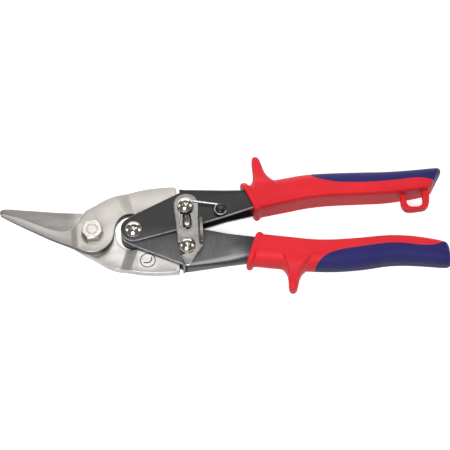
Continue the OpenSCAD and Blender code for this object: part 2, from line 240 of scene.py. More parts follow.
def section(node, z):
    """Closed outlines of a CAD node at height z, the longest first, each counter-clockwise."""
    bm = bmesh.new()
    bm.from_mesh(frame["nodes"][node].data)
    bm.transform(TO_MM)
    bmesh.ops.remove_doubles(bm, verts=bm.verts, dist=1e-4)
    cut = bisect(bm, (0, 0, z), (0, 0, 1), 1e-5)
    edges = dict.fromkeys(e for e in cut if isinstance(e, bmesh.types.BMEdge))
    loops = []
    while edges:
        edge = next(iter(edges))
        edges.pop(edge)
        start, vert = edge.verts
        loop = [start.co.xy.copy(), vert.co.xy.copy()]
        while vert is not start:
            follow = [e for e in vert.link_edges if e in edges]
            if not follow:
                break
            edge = follow[0]
            edges.pop(edge)
            vert = edge.other_vert(vert)
            loop.append(vert.co.xy.copy())
        loops.append(tidy_loop(loop))
    bm.free()
    loops = [p for p in loops if len(p) > 3]
    return sorted(loops, key=lambda p: -abs(area(p)))


def area(loop):
    """Signed area of a closed outline, above 0 where it runs counter-clockwise."""
    return 0.5 * sum(a.x * b.y - b.x * a.y for a, b in zip(loop, loop[1:] + loop[:1]))


def tidy_loop(loop, near=0.02):
    """Without repeated and in-line points, counter-clockwise."""
    out = []
    for p in loop:
        if not out or (p - out[-1]).length > near:
            out.append(p)
    if len(out) > 1 and (out[0] - out[-1]).length <= near:
        out.pop()
    kept = []
    for i, p in enumerate(out):
        a, b = out[i - 1], out[(i + 1) % len(out)]
        if abs((p - a).cross(b - p)) > 1e-3 * (p - a).length * (b - p).length:
            kept.append(p)
    return kept if area(kept) > 0 else kept[::-1]


def densify(loop, step):
    """The outline with its long sides divided into lengths of about step."""
    out = []
    for a, b in zip(loop, loop[1:] + loop[:1]):
        n = max(1, int((b - a).length / step))
        out += [a.lerp(b, k / n) for k in range(n)]
    return out


def normals_of(loop):
    """Outward unit normals at the corners of a counter-clockwise loop, lengthened at corners."""
    out = []
    for i, p in enumerate(loop):
        a = (p - loop[i - 1]).normalized()
        b = (loop[(i + 1) % len(loop)] - p).normalized()
        n = Vector((a.y + b.y, -a.x - b.x))
        n = n.normalized() if n.length > 1e-6 else Vector((a.y, -a.x))
        out.append(n / max(0.5, n.dot(Vector((a.y, -a.x)))))
    return out


# Edges rounded less than this are marked for a painted edge highlight
SHARP_EDGE = 0.4


def constant(value):
    """A function of (x, y) that is the same everywhere."""
    return lambda x, y: value


def flat_fill(loops, edge_at, cuts):
    """Fills a plan outline with holes, set in by the rounding radius.

    Returns the points, the radius at each, the faces, the border edges, and the outward
    directions at each border point.
    """
    bm = bmesh.new()
    size = bm.verts.layers.float.new("radius")
    for i, loop in enumerate(loops):
        sign = 1 if i == 0 else -1
        radii = [edge_at(p.x, p.y) for p in loop]
        ring = [p - n * sign * r for p, n, r in zip(loop, normals_of(loop), radii)]
        verts = [bm.verts.new((p.x, p.y, 0)) for p in ring]
        for vert, r in zip(verts, radii):
            vert[size] = r
        for a, b in zip(verts, verts[1:] + verts[:1]):
            bm.edges.new((a, b))
    bmesh.ops.triangle_fill(bm, edges=list(bm.edges), use_beauty=True)
    for x, y, degrees in cuts:
        a = math.radians(degrees)
        bisect(bm, (x, y, 0), (-math.sin(a), math.cos(a), 0), 1e-4)
    points = [v.co.xy for v in bm.verts]
    radius = [v[size] for v in bm.verts]
    index = {v: i for i, v in enumerate(bm.verts)}
    faces = [[index[v] for v in f.verts] for f in bm.faces]
    border = []
    outward = {}
    for e in bm.edges:
        if len(e.link_faces) != 1:
            continue
        border.append((index[e.verts[0]], index[e.verts[1]]))
        along = (e.verts[1].co - e.verts[0].co).xy.normalized()
        n = Vector((along.y, -along.x))
        if n.dot(e.link_faces[0].calc_center_median().xy - e.verts[0].co.xy) > 0:
            n = -n
        for v in e.verts:
            outward.setdefault(index[v], []).append(n)
    bm.free()
    return points, radius, faces, border, outward


def plate(loops, top, bottom, edge=0.4, cuts=(), steps=3):
    """Solid between two heights over a plan outline with holes, with rounded edges.

    loops: outline first, then holes. top and bottom: height, a number or a function of
    (x, y). edge: rounding radius, a number or a function of (x, y). cuts: extra straight
    lines, as (x, y, direction in degrees), along which the top and bottom may bend.
    """
    top, bottom, edge = (f if callable(f) else constant(f) for f in (top, bottom, edge))
    points, radius, faces, border, outward = flat_fill(loops, edge, cuts)
    bm = bmesh.new()
    painted_edge_highlight = bm.verts.layers.float.new("painted_edge_highlight")
    top_verts = [bm.verts.new((p.x, p.y, top(p.x, p.y))) for p in points]
    low_verts = [bm.verts.new((p.x, p.y, bottom(p.x, p.y))) for p in points]
    for f in faces:
        bm.faces.new([top_verts[i] for i in f])
        bm.faces.new([low_verts[i] for i in reversed(f)])
    wall = {}
    for i, directions in outward.items():
        n = sum(directions, Vector((0, 0)))
        n = n.normalized() if n.length > 1e-6 else directions[0]
        n = n / max(0.5, n.dot(directions[0]))
        p, r = points[i], radius[i]
        column = [top_verts[i]]
        for z0, sign in ((top(p.x, p.y), 1), (bottom(p.x, p.y), -1)):
            ring = []
            for k in range(1, steps + 1):
                t = math.radians(90 * k / steps)
                q = p + n * r * math.sin(t)
                vert = bm.verts.new((q.x, q.y, z0 - sign * r * (1 - math.cos(t))))
                vert[painted_edge_highlight] = 1.0 if r < SHARP_EDGE else 0.0
                ring.append(vert)
            column += ring if sign > 0 else ring[::-1]
        wall[i] = column + [low_verts[i]]
    for a, b in border:
        for k in range(len(wall[a]) - 1):
            bm.faces.new((wall[a][k], wall[b][k], wall[b][k + 1], wall[a][k + 1]))
    return bm


def block(low, high):
    """Straight-sided block between two corners."""
    bm = bmesh.new()
    bmesh.ops.create_cube(bm, size=1)
    size = [b - a for a, b in zip(low, high)]
    bmesh.ops.scale(bm, vec=size, verts=bm.verts)
    bmesh.ops.translate(bm, vec=[(a + b) / 2 for a, b in zip(low, high)], verts=bm.verts)
    return bm


def spline(points, n=8):
    """Catmull-Rom points through a list of vectors."""
    pts = [Vector(p) for p in points]
    out = []
    for i in range(len(pts) - 1):
        a, b = pts[max(i - 1, 0)], pts[i]
        c, d = pts[i + 1], pts[min(i + 2, len(pts) - 1)]
        for k in range(n):
            t = k / n
            out.append(0.5 * (
                2 * b + (c - a) * t + (2 * a - 5 * b + 4 * c - d) * t * t
                + (3 * b - a - 3 * c + d) * t ** 3
            ))
    return out + [pts[-1]]


def tube(path, r, sides=16):
    """Round wire along a path, with domed ends."""
    path = [Vector(p) for p in path]
    up = Vector((0, 0, 1))
    stations = []
    for i, p in enumerate(path):
        along = (path[min(i + 1, len(path) - 1)] - path[max(i - 1, 0)]).normalized()
        n = up.cross(along)
        n = n.normalized() if n.length > 0.05 else Vector((1, 0, 0))
        b = along.cross(n).normalized()
        n = b.cross(along)
        stations.append((p, along, n, b, 1.0))
    dome = (0.35, 0.8, 1.2)
    p, along, n, b, share = stations[0]
    start = [(p - along * r * math.cos(a), along, n, b, math.sin(a)) for a in dome]
    p, along, n, b, share = stations[-1]
    end = [(p + along * r * math.cos(a), along, n, b, math.sin(a)) for a in reversed(dome)]
    bm = bmesh.new()
    rings = []
    for p, along, n, b, share in start + stations + end:
        rings.append([
            bm.verts.new(p + (n * math.cos(a) + b * math.sin(a)) * r * share)
            for a in np.linspace(0, 2 * math.pi, sides, endpoint=False)
        ])
    loft(bm, rings)
    return bm


# ---- materials ----


class Paint:
    """A material's nodes; sockets are passed between the methods that add to them."""

    def __init__(self, mat):
        self.nodes = mat.node_tree.nodes
        self.links = mat.node_tree.links
        self.shader = self.nodes["Principled BSDF"]

    def set(self, name, value):
        """Puts a socket or a constant on the shader's own input."""
        self.put(self.shader.inputs[name], value)

    def put(self, target, value):
        """Links a socket, or sets a constant, on an input."""
        if isinstance(value, bpy.types.NodeSocket):
            self.links.new(value, target)
        else:
            target.default_value = value

    def add(self, kind, **inputs):
        """A new node, with its inputs put."""
        node = self.nodes.new("ShaderNode" + kind)
        for name, value in inputs.items():
            self.put(node.inputs[name.replace("_", " ")], value)
        return node

    def base(self):
        """The socket that the base colour comes from."""
        return self.shader.inputs["Base Color"].links[0].from_socket

    def noise(self, scale, detail=4.0, rough=0.55, stretch=(1, 1, 1)):
        """Noise in object space, in features per metre."""
        place = self.add("TexCoord").outputs["Object"]
        place = self.add("Mapping", Vector=place, Scale=stretch).outputs["Vector"]
        noise = self.add("TexNoise", Vector=place, Scale=scale, Detail=detail, Roughness=rough)
        return noise.outputs["Fac"]

    def ramp(self, source, *stops):
        """Colours, or greys given as numbers, at places along a source."""
        node = self.add("ValToRGB", Fac=source)
        items = node.color_ramp.elements
        stops = [(place, grey(c) if isinstance(c, (int, float)) else c) for place, c in stops]
        items[0].position, items[0].color = stops[0]
        items[1].position, items[1].color = stops[-1]
        for place, colour in stops[1:-1]:
            items.new(place).color = colour
        return node.outputs["Color"]

    def mix(self, factor, a, b, blend="MIX"):
        """b over a by factor; each is a socket or a constant."""
        node = self.add("Mix")
        node.data_type = "RGBA"
        node.blend_type = blend
        for name, value in (("Factor", factor), ("A", a), ("B", b)):
            self.put(node.inputs[name], value)
        return node.outputs["Result"]

    def math(self, operation, *sources):
        """A sum, product or other operation on sockets."""
        node = self.add("Math")
        node.operation = operation
        for target, source in zip(node.inputs, sources):
            self.put(target, source)
        return node.outputs["Value"]

    def fade(self, source, low, high, start=0.0, end=1.0, kind="SMOOTHSTEP"):
        """start where the source is low, and end where it is high."""
        node = self.add("MapRange", Value=source, From_Min=low, From_Max=high, To_Min=start,
                        To_Max=end)
        node.interpolation_type = kind
        return node.outputs["Result"]

    def place(self):
        """X, Y and Z of a point of the surface."""
        return self.add("SeparateXYZ", Vector=self.add("TexCoord").outputs["Object"]).outputs

    def facing(self):
        """X, Y and Z of the surface's direction."""
        return self.add("SeparateXYZ", Vector=self.add("NewGeometry").outputs["Normal"]).outputs

    def share(self, attribute_name):
        """A vertex attribute of the mesh."""
        node = self.add("Attribute")
        node.attribute_name = attribute_name
        return node.outputs["Fac"]

    def bump(self, source, strength, distance):
        """Relief from a source."""
        node = self.add("Bump", Height=source, Strength=strength, Distance=distance)
        self.set("Normal", node.outputs["Normal"])


def new_material(name):
    """A material and its Paint."""
    mat = bpy.data.materials.new(name)
    mat.use_nodes = True
    return mat, Paint(mat)


def grey(v):
    return (v, v, v, 1)


def cloudy(paint, noise, colour, low, high):
    """The colour times low to times high, over noise."""
    dark, light = ((*(v * k for v in colour), 1) for k in (low, high))
    return paint.ramp(noise, (0.3, dark), (0.7, light))


def painted_upright_shade(paint, colour, low):
    """Painted shade: darkens faces that stand upright, as if they were in shadow."""
    level = paint.math("ABSOLUTE", paint.facing()["Z"])
    return paint.mix(1, colour, paint.ramp(level, (0.1, low), (0.8, 1)), "MULTIPLY")


def metal(name, colour, rough, mottle, grain, stretch=(1, 1, 1), scale=2500, side=1.0):
    """Plated or ground steel: fine grain in the bump, cloudy tone, uneven roughness, and painted
    shade on upright faces where side is below 1.
    """
    mat, paint = new_material(name)
    paint.set("Metallic", 1.0)
    tone = cloudy(paint, paint.noise(90, 5), colour, 1 - mottle, 1 + mottle)
    # Painted shade on upright faces where side is below 1.
    paint.set("Base Color", painted_upright_shade(paint, tone, side) if side < 1 else tone)
    fine = paint.noise(scale, 3, stretch=stretch)
    paint.set("Roughness", paint.ramp(fine, (0.25, rough * 0.8), (0.75, rough * 1.25)))
    paint.bump(fine, grain, 0.00004)
    return mat


# Where the lower handle's worn and painted-highlight flange starts, where it is full, and where
# the bend with its painted highlight begins, in plan
WEAR_SHEEN_FROM = (91, 3)
WEAR_SHEEN_FULL = (74, -11)
HIGHLIGHT_BEND = (74, -17)


def wear_and_highlight_masks(paint):
    """Masks on the lower handle's enamel: its flange, where wear and a painted highlight lie, and
    its bend, where a painted highlight lies.
    """
    place = paint.place()
    up = paint.facing()["Z"]
    start, full, bend = (TO_ROW @ Vector((x, y, 0)) for x, y in (WEAR_SHEEN_FROM, WEAR_SHEEN_FULL, HIGHLIGHT_BEND))
    along = paint.fade(place["X"], start.x, full.x)
    across = paint.fade(place["Y"], start.y, full.y)
    near_bend = paint.fade(place["Y"], full.y, bend.y)
    level = paint.fade(up, 0.75, 0.98)
    slant = paint.ramp(up, (0.6, 0), (0.78, 1), (0.97, 1), (0.999, 0.1))
    flange = paint.math("MULTIPLY", paint.math("MULTIPLY", along, across), level)
    corner = paint.math("MULTIPLY", paint.math("MULTIPLY", along, near_bend), slant)
    return flange, corner


def enamel(name):
    """Black enamel: pale on the lower flange from wear and a painted highlight, a painted
    highlight along its bend, chipped and painted bright at sharp edges.
    """
    mat, paint = new_material(name)
    tone = paint.ramp(paint.noise(60, 4), (0.3, (0.007, 0.0075, 0.009, 1)),
                      (0.7, (0.012, 0.0125, 0.015, 1)))
    pale = paint.ramp(paint.noise(500, 5, 0.6, (1, 0.2, 1)), (0.3, 0.075), (0.7, 0.12))
    flange, corner = wear_and_highlight_masks(paint)
    # Pale scratches together with a painted highlight on the lower flange.
    wear_and_sheen = paint.mix(flange, tone, pale)
    # Painted highlight along the lower handle's bend.
    bend_highlight = paint.mix(corner, wear_and_sheen, (0.36, 0.36, 0.38, 1))
    chips = paint.ramp(paint.noise(400, 5), (0.35, 0.5), (0.6, 1))
    # Chips together with a painted highlight along the sharp edges.
    chips_and_edge_highlight = paint.math("MULTIPLY", paint.share("painted_edge_highlight"), chips)
    paint.set("Base Color", paint.mix(chips_and_edge_highlight, bend_highlight, (0.55, 0.55, 0.56, 1)))
    peel = paint.noise(1500, 2)
    paint.set("Roughness", paint.ramp(peel, (0.3, 0.27), (0.7, 0.36)))
    paint.bump(peel, 0.3, 0.00005)
    paint.set("Specular IOR Level", 0.42)
    return mat


def plastic(name, colour, rough, grain, side, specular):
    """Moulded grip material: slight tone drift, fine texture, painted shade on upright faces."""
    mat, paint = new_material(name)
    tone = cloudy(paint, paint.noise(45, 3), colour, 0.92, 1.06)
    paint.set("Base Color", painted_upright_shade(paint, tone, side))
    fine = paint.noise(2200, 3)
    paint.set("Roughness", paint.ramp(fine, (0.3, rough * 0.85), (0.7, rough * 1.15)))
    paint.bump(fine, grain, 0.00005)
    paint.set("Specular IOR Level", specular)
    return mat


def floor_material():
    mat, paint = new_material("floor_white")
    paint.set("Base Color", paint.ramp(paint.noise(6, 2), (0.3, 0.93), (0.7, 0.95)))
    paint.set("Roughness", 0.7)
    paint.set("Emission Color", (1, 1, 1, 1))
    paint.set("Emission Strength", 0.7)
    return mat


def jaw_tone(mat, edge_x, dark):
    """Darkens the ground jaw face ahead of edge_x, in streaks along the jaw."""
    paint = Paint(mat)
    ahead = paint.fade(paint.place()["X"], edge_x - 3 * MM, edge_x + 5 * MM, dark, 1, "LINEAR")
    streaks = paint.ramp(paint.noise(260, 4, 0.6, (0.25, 1, 1)), (0.3, 0.85), (0.7, 1.1))
    for factor in (ahead, streaks):
        paint.set("Base Color", paint.mix(1, paint.base(), factor, "MULTIPLY"))


def tint_where(mat, attribute_name, colour):
    """Gives a material another colour where a vertex attribute is 1."""
    paint = Paint(mat)
    paint.set("Base Color", paint.mix(paint.share(attribute_name), paint.base(), colour))


# side below 1 is painted shade on upright faces: the blades' and the bolt's sides are darkened.
NICKEL = metal("satin_nickel", (0.615, 0.58, 0.545), 0.4, 0.05, 0.3, (1, 6, 6), 1200, side=0.1)
GROUND = metal("ground_nickel", (0.74, 0.71, 0.68), 0.38, 0.05, 0.35, (1, 14, 14), 700, side=0.5)
jaw_tone(GROUND, (TO_ROW @ Vector((-8, 0, 0))).x, 0.48)
# Painted shade on the floor of the stamped groove.
tint_where(GROUND, "painted_groove_shade", (0.12, 0.115, 0.11, 1))
BRIGHT = metal("bright_nickel", (0.66, 0.625, 0.56), 0.15, 0.04, 0.1)
BOLT = metal("turned_nickel", (0.68, 0.64, 0.595), 0.34, 0.1, 0.35, (1, 1, 1), 900, side=0.55)
ZINC = metal("zinc_plate", (0.50, 0.50, 0.48), 0.38, 0.06, 0.2)
TUMBLED = metal("tumbled_zinc", (0.27, 0.255, 0.245), 0.3, 0.2, 0.45, (1, 1, 1), 900)
# Painted highlight along the latch's sharp edges.
tint_where(TUMBLED, "painted_edge_highlight", (0.8, 0.79, 0.77, 1))
SPRING = metal("spring_steel", (0.30, 0.30, 0.31), 0.35, 0.05, 0.1)
WIRE = metal("drawn_wire", (0.62, 0.61, 0.58), 0.3, 0.04, 0.1)
ENAMEL = enamel("satin_black")
# The second to last value keeps that share of colour on upright faces, as painted shade; the
# grips' sides are darkened.
BLACK = plastic("black_oxide", (0.012, 0.012, 0.013), 0.22, 0.1, 1.0, 0.5)
RED = plastic("grip_red", (0.88, 0.022, 0.036), 0.5, 0.18, 0.44, 0.2)
NAVY = plastic("grip_navy", (0.027, 0.024, 0.155), 0.55, 0.3, 0.4, 0.18)


def finish_piece(obj, body, mat, node):
    """Gives a piece its material and its body, and hides the CAD node that it stands for."""
    obj.data.materials.clear()
    obj.data.materials.append(mat)
    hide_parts(node)
    if body:
        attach(obj, body)


# ---- blades ----

TANG_DROP = -node_mm("narrow_blade")[0].z
CRANK_Y = 17.5
CRANK_FROM = 15.8
CRANK_TO = 22.6
CRANK_LEAN = 0.33
CRANK_SOFTEN = 0.1
BOSS_T = 5.0
ROOT_T = 4.3
TIP_T = 2.4
# Where the jaw's slope starts, how long its step up to the boss is, and the jaw's tip
ROOT_X = -12.5
STEP_LENGTH = 5
TIP_X = -51.5
# Half of the gap between the two blades' flat faces
FACE_GAP = 0.05


def crank_share(x, y):
    """0 on the boss side of the crank, 1 on the tang; the bend leans with y."""
    start = CRANK_FROM - CRANK_LEAN * (y - CRANK_Y)
    t = min(1.0, max(0.0, (x - start) / (CRANK_TO - CRANK_FROM)))
    return t - CRANK_SOFTEN * math.sin(2 * math.pi * t) / (2 * math.pi)


def jaw_thickness(x):
    if x > ROOT_X:
        return ROOT_T + (BOSS_T - ROOT_T) * smooth_step((x - ROOT_X) / STEP_LENGTH)
    return ROOT_T + (TIP_T - ROOT_T) * (x - ROOT_X) / (TIP_X - ROOT_X)


def blade_face(x, y):
    return FACE_GAP - (TANG_DROP + FACE_GAP) * crank_share(x, abs(y))


def blade_back(x, y):
    return jaw_thickness(x) - TANG_DROP * crank_share(x, abs(y))


def blade_cuts(sign):
    """Lines across the crank and the jaw's step, along which the blade bends."""
    tilt = 90 + sign * math.degrees(math.atan(CRANK_LEAN))
    lines = [(x, CRANK_Y * sign, tilt) for x in np.linspace(CRANK_FROM, CRANK_TO, 9)]
    return lines + [(x, 0, 90) for x in np.linspace(ROOT_X, ROOT_X + STEP_LENGTH, 7)]


def build_blade(name, sign):
    """Forged blade; the narrow one (sign 1) lies above z = 0, the wide one (-1) below."""
    loops = [densify(p, 1.5) for p in section(name, 1.0 * sign)[:3]]
    if sign > 0:
        bm = plate(loops, blade_back, blade_face, 0.45, blade_cuts(1))
    else:
        bm = plate(loops, lambda x, y: -blade_face(x, y), lambda x, y: -blade_back(x, y),
                   0.35, blade_cuts(-1))
    return make(name + "_forged", bm)


SYMBOL = (30.1, -17.2)
SYMBOL_R = 4.4
SYMBOL_LINE = 0.6
SYMBOL_DEPTH = 0.4
# The curved line inside the ring, from its middle, and half its width
MARK = [(-2.4, -1.2), (-0.6, -1.5), (1.2, -1.0), (2.1, 0.6), (2.2, 1.9)]
MARK_HALF_W = 0.35


def mark_outline():
    """Outline of the curved line that is pressed inside the ring."""
    line = spline([(SYMBOL[0] + x, SYMBOL[1] + y, 0) for x, y in MARK], 4)
    left, right = [], []
    for i, q in enumerate(line):
        along = (line[min(i + 1, len(line) - 1)] - line[max(i - 1, 0)]).normalized()
        side = Vector((-along.y, along.x)) * MARK_HALF_W
        left.append(q.xy + side)
        right.append(q.xy - side)
    return tidy_loop(right + left[::-1])


def stamp_symbol(obj):
    """A ring and a curved cut line, pressed into the tang, with the groove floor marked for
    painted shade.
    """
    z = TANG_DROP - SYMBOL_DEPTH
    ring = [circle(SYMBOL, r, 48) for r in (SYMBOL_R, SYMBOL_R - SYMBOL_LINE)]
    for loops in (ring, [mark_outline()]):
        carve(obj, plate(loops, TANG_DROP + 1, z, 0.02, steps=1))
    floor = TO_ROW @ Vector((*SYMBOL, z + 0.05))
    reach = (SYMBOL_R + 0.2) * MM
    # Marks the groove floor, which the ground nickel darkens as painted shade.
    painted_groove_shade = obj.data.attributes.new("painted_groove_shade", "FLOAT", "POINT")
    for vert, item in zip(obj.data.vertices, painted_groove_shade.data):
        low = floor.z - 0.2 * MM < vert.co.z < floor.z
        item.value = 1.0 if low and (vert.co.xy - floor.xy).length < reach else 0.0
    shade(obj)


narrow = build_blade("narrow_blade", 1)
finish_piece(narrow, "narrow_blade", NICKEL, "narrow_blade")
wide = build_blade("wide_blade", -1)
stamp_symbol(wide)
finish_piece(wide, "wide_blade", GROUND, "wide_blade")

# ---- handles ----

SHEET = 1.9
# Outer face of the web along the channel, drawn for the upper handle
WEB_FRONT = 49.4
WEB = [(WEB_FRONT, 23.2), (84, 20.8), (120, 23.8), (172, 24.2)]
# Heights of the flanges' outer faces at the pivots, and how far they spread at the grip
NEAR_FLANGE_Z = 6
FAR_FLANGE_Z = 3.95
NEAR_SPREAD = 0.9
FAR_SPREAD = 2.95
# Share of the spread along the channel
FLARE = [(0, 0), (75, 0), (90, 1), (300, 1)]
FLARE_LINES = (75, 78, 81, 84, 87, 90)
# Outer radius of the bend between web and flanges, along the channel
EVEN_BEND = [(50, 2.2), (200, 2.2)]
WIDE_BEND = [(50, 2.2), (58, 2.2), (84, 5.2), (200, 5.2)]
FLANGE_EDGE = 0.25
# Height inside the wider flange at which its outline is read
OUTLINE_Z = 5.3
# Screw radii, and the upper handle's holes over the pivot screw's neck and its sleeve
PIVOT_R = 2.5
LINK_R = 2.0
NECK_HOLE_R = 3.05
SLEEVE_HOLE_R = 3.55


def channel_top(x, y):
    return NEAR_FLANGE_Z + NEAR_SPREAD * ramp(FLARE, x)


def channel_low(x, y):
    return -FAR_FLANGE_Z - FAR_SPREAD * ramp(FLARE, x)


def channel_outline(shift, flip):
    """The handle's outline in plan, its web moved out by shift, drawn as the upper handle."""
    if flip:
        drawn = section("lower_handle", -OUTLINE_Z)[0]
        outline = [Vector((p.x, -p.y)) for p in reversed(drawn)]
    else:
        outline = section("upper_handle", OUTLINE_Z)[0]
    outer = []
    for p in outline:
        on_web = p.x > 60 and p.y > ramp(WEB, p.x) - 1
        outer.append(p + Vector((0, shift)) if on_web else p)
        if abs(p.x - WEB[1][0]) < 0.5:
            outer += [Vector((x, ramp(WEB, x) + shift * smooth_step((x - WEB_FRONT) / 1.2)))
                      for x in (54, 51.2, 50.8, 50.4, 50)]
    return outer


def build_channel(name, shift, bend, flip):
    """Pressed channel whose bend at the web has the radii in bend.

    The web stands out by shift, to make up for the rounding.
    """

    def web_edge(x, y):
        near = y > ramp(WEB, x) - 0.3
        grow = smooth_step((x - WEB_FRONT) / 1.4) if near else 0
        return FLANGE_EDGE + (ramp(bend, x) - FLANGE_EDGE) * grow

    def cavity_edge(x, y):
        near = 10 < y < 24.5 and x > WEB_FRONT + 0.5
        return ramp(bend, x) - SHEET + 0.3 if near else 0.05

    lines = [(x, 0, 90) for x in FLARE_LINES]
    outer = channel_outline(shift, flip)
    obj = make(name, plate([outer], channel_top, channel_low, web_edge, lines, 5))
    inner = [Vector(p) for p in ((0, -40), (200, -40), (200, 22.3))]
    inner += [Vector((x, y + shift - SHEET)) for x, y in reversed(WEB)]
    inner += [Vector(p) for p in ((49.8, 25), (0, 25))]
    cavity = plate([inner], lambda x, y: channel_top(x, y) - SHEET,
                   lambda x, y: channel_low(x, y) + SHEET, cavity_edge, lines, 4)
    carve(obj, cavity)
    if flip:
        obj.data.transform(TO_ROW @ Matrix.Rotation(math.pi, 4, "X") @ TO_MM)
    return obj


def drill(obj, centre, r, low=-12, high=12):
    """Cuts a round hole between two heights."""
    carve(obj, lathe([(0, low), (r, low), (r, high), (0, high)], centre, 48))


upper_handle = build_channel("upper_channel", shift=0.75, bend=EVEN_BEND, flip=False)
drill(upper_handle, P_HANDLE, NECK_HOLE_R, low=0)
drill(upper_handle, P_HANDLE, SLEEVE_HOLE_R, high=0)
drill(upper_handle, P_UPPER, LINK_R)
lower_handle = build_channel("lower_channel", shift=0.1, bend=WIDE_BEND, flip=True)
drill(lower_handle, P_HANDLE, PIVOT_R)
drill(lower_handle, P_LOWER, LINK_R)
for name, handle in (("upper_handle", upper_handle), ("lower_handle", lower_handle)):
    shade(handle)
    finish_piece(handle, name, ENAMEL, name)

# ---- grips ----

GRIP_H = 9.0
# Stations along a grip: x and y of its inner edge and of its outer edge, and half its
# thickness as a share of GRIP_H
UPPER_STATIONS = [
    (90.9, 8.2, 83.6, 26, 0.96), (91.7, 7.3, 84.8, 26.9, 1), (93.6, 7.5, 86.9, 26.5, 1),
    (94.7, 8.8, 88.1, 25.4, 0.95), (98.7, 9.6, 94.7, 26.6, 0.96), (110.3, 11.6, 107.8, 28.3, 1),
    (121.9, 13.4, 119.9, 29.9, 1), (133.9, 14.1, 132.9, 30.2, 1), (150, 14, 150, 29.8, 1),
    (165.1, 14, 166.1, 29.2, 1), (178.2, 15.2, 180.2, 29.5, 0.96),
    (187.3, 16.6, 191.3, 30.1, 0.92), (190.4, 17.7, 195.8, 30.3, 0.84),
    (191.6, 19.1, 196.9, 29.8, 0.66), (192.3, 20.9, 197.3, 28.4, 0.42),
]
LOWER_STATIONS = [
    (90.8, -6.9, 84.4, -23.4, 0.96), (91.9, -5.7, 85.2, -24.5, 1), (94, -5.8, 87.4, -24.3, 1),
    (95, -6.8, 88.5, -22.9, 0.95), (100.7, -7.9, 96.7, -24.1, 0.96),
    (110.9, -9.8, 108.9, -25.9, 1), (121.9, -11.6, 120.9, -27.5, 1),
    (134, -12.4, 134, -28.4, 1), (149, -12.1, 149, -28, 1), (163, -11.5, 163, -26.4, 1),
    (174.9, -12.3, 173.9, -26.6, 0.98), (186.8, -14.4, 184.8, -27.9, 0.93),
    (194.4, -16.3, 194.2, -29.3, 0.86), (196.4, -17.4, 197.2, -29.1, 0.72),
    (197.5, -19.4, 197.9, -28, 0.45),
]
# Where the inlay's front and inner edge runs in plan
UPPER_SPLIT = [(123.5, 32), (123.8, 27.4), (127.9, 24.7), (134.5, 22.6), (142, 21.4),
               (156, 20.8), (170, 21.2), (182, 22.2), (190, 21.2), (200, 18)]
LOWER_SPLIT = [(118.6, -36), (120, -31), (124.2, -25.7), (129.6, -21.9), (137, -19.7),
               (148, -18.4), (162, -17.2), (172, -17.6), (183.5, -19.4), (191.5, -18.5),
               (202, -13.5)]
# Stations along a finger stop: left edge, right edge, half thickness as a share
UPPER_HORN = [
    (88.0, 20, 107, 20, 0.6), (89.5, 24.5, 106, 24.5, 0.58), (91.0, 28, 101.2, 28.6, 0.56),
    (91.3, 32.5, 98.1, 32.6, 0.55), (91.1, 37.5, 96.5, 37.8, 0.54),
    (91.0, 40.5, 95.7, 40.6, 0.5), (91.5, 42.3, 95, 42.2, 0.42), (92.4, 43, 94.3, 42.9, 0.3),
]
LOWER_HORN = [
    (101.5, -19, 121.5, -19, 0.6), (103.5, -23.5, 120, -24, 0.58),
    (106.2, -27.5, 115.6, -28.4, 0.56), (107.2, -31.5, 113.6, -32, 0.55),
    (107.1, -36, 112.4, -36.2, 0.53), (107.2, -38.3, 111.8, -38.4, 0.48),
    (107.9, -39.7, 111, -39.7, 0.4), (108.8, -40.2, 110.1, -40.2, 0.3),
]
# The same along the rib that runs from the top of a grip down on to its finger stop
UPPER_RIB = [
    (91, 20, 105, 20, 0.95), (91.8, 24.5, 103, 24.5, 0.85), (92.2, 28, 99.2, 28, 0.68),
    (92.3, 32, 97, 32, 0.57), (92.6, 36, 95.6, 36, 0.5),
]
LOWER_RIB = [
    (104.9, -20.2, 121.6, -21.2, 1.02), (105.2, -21.2, 120.6, -22.3, 1.02),
    (106.4, -24.4, 117.6, -25, 0.95), (107.8, -28.2, 114.4, -28.6, 0.76),
    (108.4, -31.5, 113, -31.8, 0.63), (108.4, -35, 112, -35, 0.58),
    (108.6, -38, 111.2, -38, 0.5),
]
# Outline of the hanging loop, and its opening
LOOP_OUT = [(173.3, 16.5), (173, 10.6), (173.7, 7.8), (175.4, 5.8), (178, 5.2), (181.5, 5.4),
            (185.9, 5.9), (188.2, 7.9), (189.2, 11), (189.4, 17.8)]
LOOP_IN = [(176.4, 16.8), (176.4, 10.4), (176.8, 9), (177.7, 7.9), (179.1, 7.4),
           (182.7, 7.4), (184.1, 7.9), (185, 9), (185.4, 10.4), (185.4, 16.8)]
LOOP_HALF_T = 2.6
RIB_LIFT = 0.25
GRIP_VOXEL = 0.45
# Rounding of a grip's inner and outer side, of the finger stops and of the ribs
INNER_ROUND = 3.0
OUTER_ROUND = 8.0
HORN_ROUND = 2.2
RIB_ROUND = 0.6


def station_ring(a, b, share, inner_r, outer_r, per_corner=10):
    """Rounded rectangle across a grip; b is on its outer side."""
    mid, half = (a + b) / 2, (b - a).length / 2
    u = (b - a).normalized()
    h = share * GRIP_H
    ring = []
    for q in range(4):
        outer = q in (0, 3)
        r = min(outer_r, half, 0.95 * h) if outer else min(inner_r, 0.92 * half, 0.85 * h)
        if inner_r != outer_r and not outer:
            r = min(r, 0.5 * half)
        sx = 1 if outer else -1
        sz = 1 if q < 2 else -1
        for k in range(per_corner):
            t = math.radians(90 * q + 90 * k / (per_corner - 1))
            w = sx * (half - r) + r * math.cos(t)
            ring.append((mid.x + u.x * w, mid.y + u.y * w, sz * (h - r) + r * math.sin(t)))
    return ring


